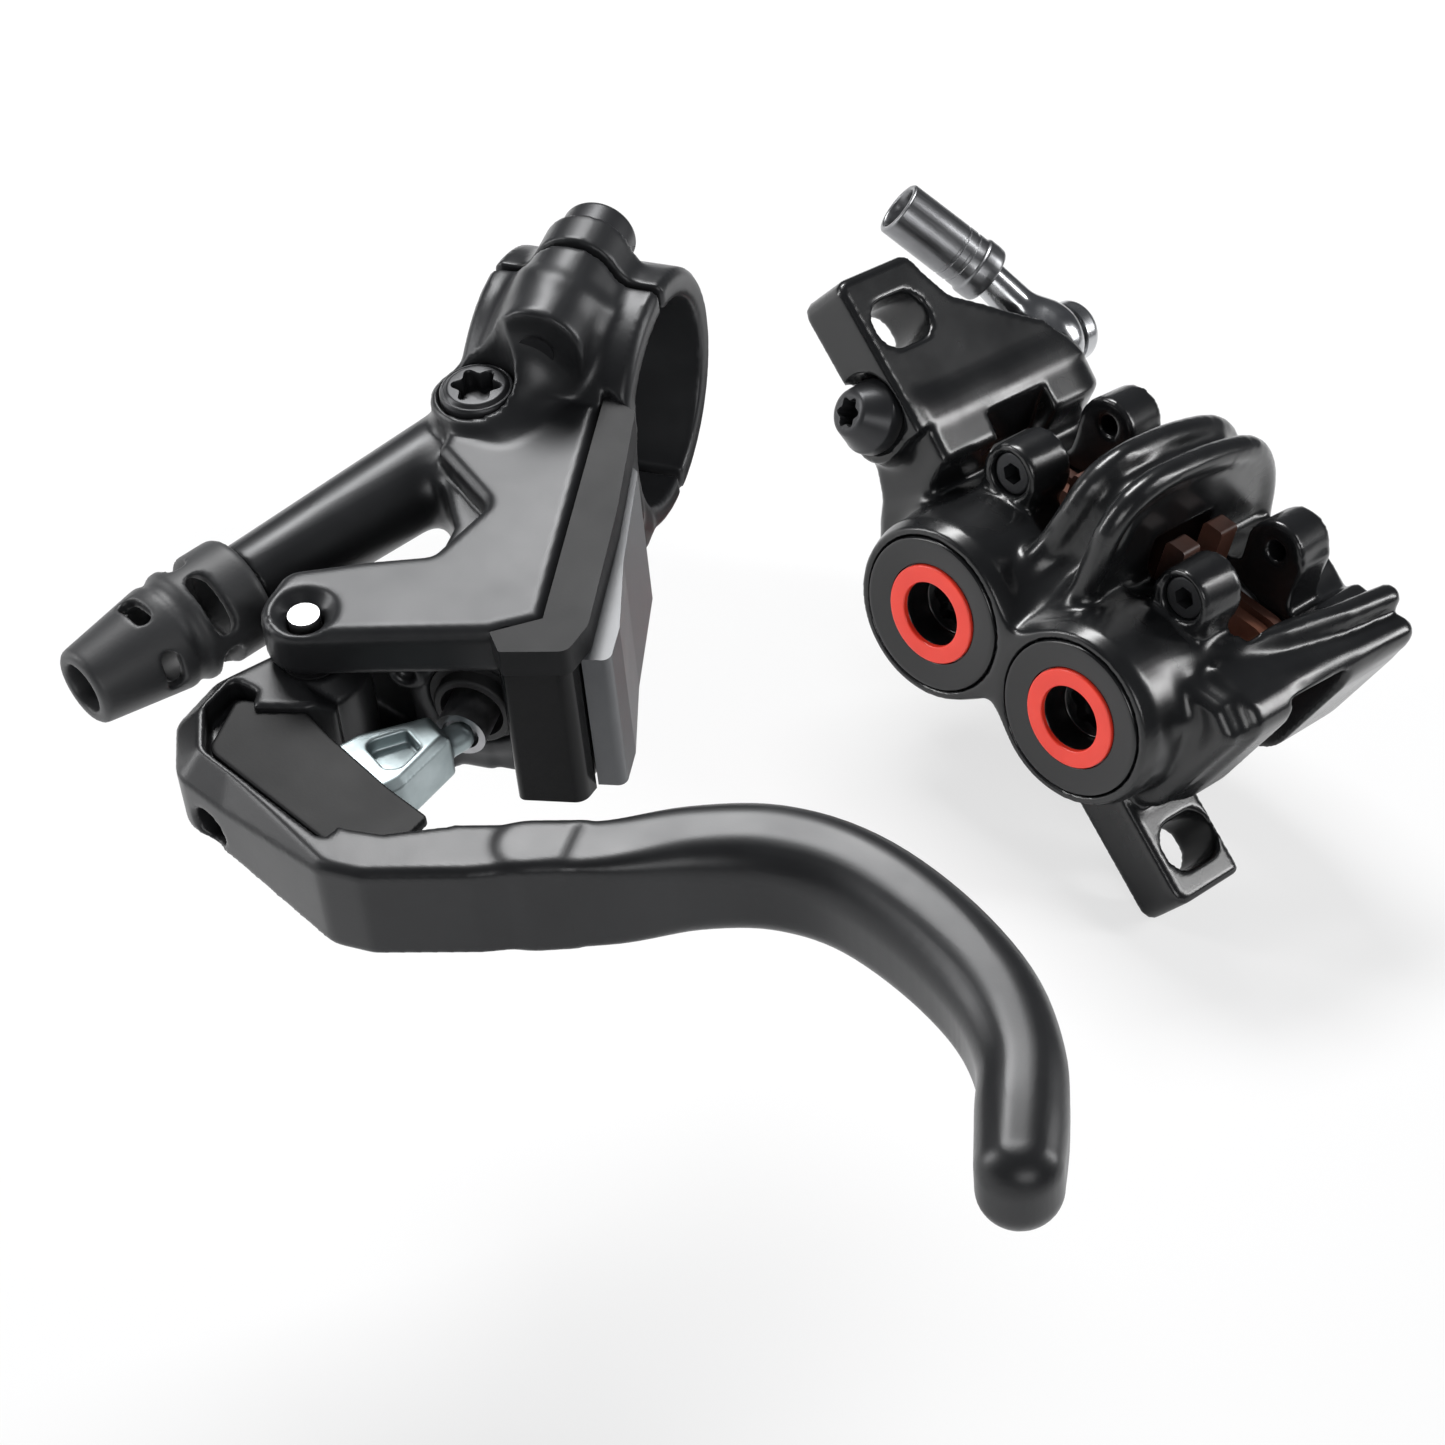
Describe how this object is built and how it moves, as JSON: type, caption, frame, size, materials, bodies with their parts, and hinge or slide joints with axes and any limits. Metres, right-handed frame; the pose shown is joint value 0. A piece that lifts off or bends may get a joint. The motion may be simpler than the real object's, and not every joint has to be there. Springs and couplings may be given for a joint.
{
  "type": "hydraulic disc brake",
  "caption": "Bicycle hydraulic disc brake: handlebar lever with master cylinder and a forged caliper with opposed pistons.",
  "frame": {"origin": "middle of the caliper's rotor slot, halfway between the four piston axes", "axes": "+Y along the piston axes, away from the two open plugs; +Z out of the pad windows; +X from the upper pistons to the lower ones"},
  "size_m": [0.1412, 0.1807, 0.0986],
  "materials": {
    "forged_black": "satin",
    "satin_black": "satin",
    "satin_grey": "satin",
    "steel": "polished",
    "dark_steel": "satin",
    "red": "satin",
    "rubber": "matte",
    "black_plastic": "gloss",
    "grey_plastic": "matte",
    "lining": "matte",
    "pad_steel": "satin"
  },
  "bodies": {
    "housings": {"banjo": "steel", "banjo_bolt": "steel", "banjo_washers": "steel", "bleed_screw": "dark_steel", "bleed_seal": "rubber", "bore_plug_lower": "satin_black", "bore_plug_upper": "satin_black", "caliper_body": "forged_black", "clamp_cap": "satin_black", "clamp_screw_lower": "dark_steel", "clamp_screw_upper": "dark_steel", "cover_ring_lower": "red", "cover_ring_upper": "red", "dust_boot": "rubber", "hose_arm": "satin_black", "hose_ferrule": "steel", "hose_nut": "steel", "hose_olive": "steel", "hose_sleeve": "rubber", "master_body": "satin_black", "pad_pin_lower": "dark_steel", "pad_pin_upper": "dark_steel", "piston_seals": "rubber", "pivot_lugs": "satin_black", "pivot_pin": "steel", "plug_seals": "rubber", "port_screw": "dark_steel", "port_seal": "rubber", "reservoir_cover": "grey_plastic", "reservoir_front": "black_plastic", "return_spring": "steel", "side_strip": "black_plastic", "snap_ring": "steel"},
    "lever": {"blade": "satin_black", "pivot_bushes": "dark_steel", "link_pin": "steel"},
    "master_piston": {"master_piston": "satin_grey", "piston_cups": "rubber"},
    "push_link": {"push_link": "satin_grey"},
    "outer_upper_pad": {"piston_outer_upper": "satin_grey", "magnet_outer_upper": "dark_steel", "pad_plate_outer_upper": "pad_steel", "lining_outer_upper": "lining"},
    "outer_lower_pad": {"piston_outer_lower": "satin_grey", "magnet_outer_lower": "dark_steel", "pad_plate_outer_lower": "pad_steel", "lining_outer_lower": "lining"},
    "inner_upper_pad": {"piston_inner_upper": "satin_grey", "magnet_inner_upper": "dark_steel", "pad_plate_inner_upper": "pad_steel", "lining_inner_upper": "lining"},
    "inner_lower_pad": {"piston_inner_lower": "satin_grey", "magnet_inner_lower": "dark_steel", "pad_plate_inner_lower": "pad_steel", "lining_inner_lower": "lining"}
  },
  "joints": [
    {"name": "lever_pivot", "type": "hinge", "parent": "housings", "child": "lever", "pos_m": [-0.00859, -0.1368, 0.04033], "axis": [-0.1425, -0.2581, 0.9556], "range_deg": [0, 15], "stiffness_Nm_per_rad": 1.2, "springref_deg": -20.05},
    {"name": "master_slide", "type": "slide", "parent": "housings", "child": "master_piston", "axis": [-0.4543, 0.8748, 0.1685], "range_m": [0, 0.00423], "deforming": ["return_spring"]},
    {"name": "link_hinge", "type": "hinge", "parent": "master_piston", "child": "push_link", "pos_m": [0.00607, -0.13243, 0.04412], "axis": [-0.1425, -0.2581, 0.9556], "range_deg": [0, 15.5]},
    {"name": "outer_upper_slide", "type": "slide", "parent": "housings", "child": "outer_upper_pad", "axis": [0, 1, 0], "range_m": [0, 0.000367]},
    {"name": "outer_lower_slide", "type": "slide", "parent": "housings", "child": "outer_lower_pad", "axis": [0, 1, 0], "range_m": [0, 0.000367]},
    {"name": "inner_upper_slide", "type": "slide", "parent": "housings", "child": "inner_upper_pad", "axis": [0, -1, 0], "range_m": [0, 0.000367]},
    {"name": "inner_lower_slide", "type": "slide", "parent": "housings", "child": "inner_lower_pad", "axis": [0, -1, 0], "range_m": [0, 0.000367]}
  ],
  "couplings": [
    {"joint": "master_slide", "follows": "lever_pivot", "m_per_rad": 0.015764},
    {"joint": "link_hinge", "follows": "lever_pivot", "ratio": 1.0136},
    {"joint": "outer_upper_slide", "follows": "lever_pivot", "m_per_rad": 0.0013637},
    {"joint": "outer_lower_slide", "follows": "lever_pivot", "m_per_rad": 0.0013637},
    {"joint": "inner_upper_slide", "follows": "lever_pivot", "m_per_rad": 0.0013637},
    {"joint": "inner_lower_slide", "follows": "lever_pivot", "m_per_rad": 0.0013637}
  ]
}
